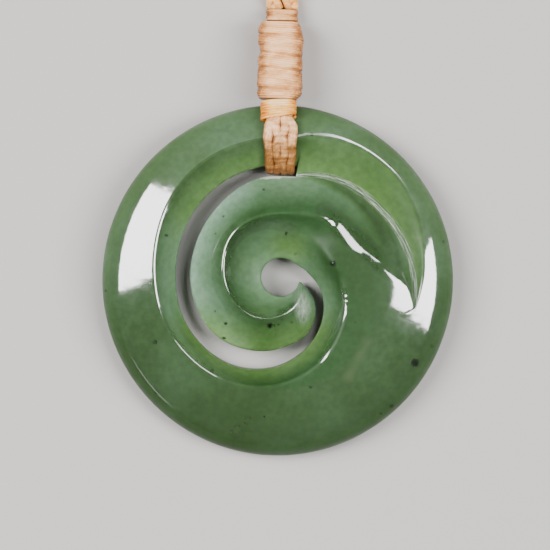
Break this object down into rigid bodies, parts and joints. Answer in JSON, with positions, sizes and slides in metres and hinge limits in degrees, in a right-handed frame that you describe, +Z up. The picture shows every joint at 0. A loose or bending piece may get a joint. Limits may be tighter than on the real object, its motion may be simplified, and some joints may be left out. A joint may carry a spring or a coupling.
{
  "type": "koru pendant",
  "caption": "Domed round pendant of polished green stone pierced by a koru spiral, hung by a flat plaited strap and a bound whipping from a closed loop of plaited neck cord.",
  "frame": {"origin": "The middle of the whole assembly's outline in plan, on the surface that it lies on.", "axes": "+Z points up out of the surface, which is out of the carved face of the stone. +Y runs from the stone along the binding to the far end of the neck cord. +X is to the right with the stone nearest the viewer."},
  "size_m": [0.1432, 0.3022, 0.007],
  "materials": {
    "greenstone": "polished, translucent, mottled green with small black inclusions",
    "strap_plait": "waxed flat plait, tan",
    "binding_thread": "waxed thread wound in close turns, cream",
    "cord_plait": "waxed plaited cord, cream"
  },
  "bodies": {
    "root": {"koru": "greenstone", "ring_strap": "strap_plait", "strap_collar": "binding_thread", "whipping": "binding_thread", "upper_whipping": "binding_thread", "neck_cord": "cord_plait"}
  },
  "joints": []
}
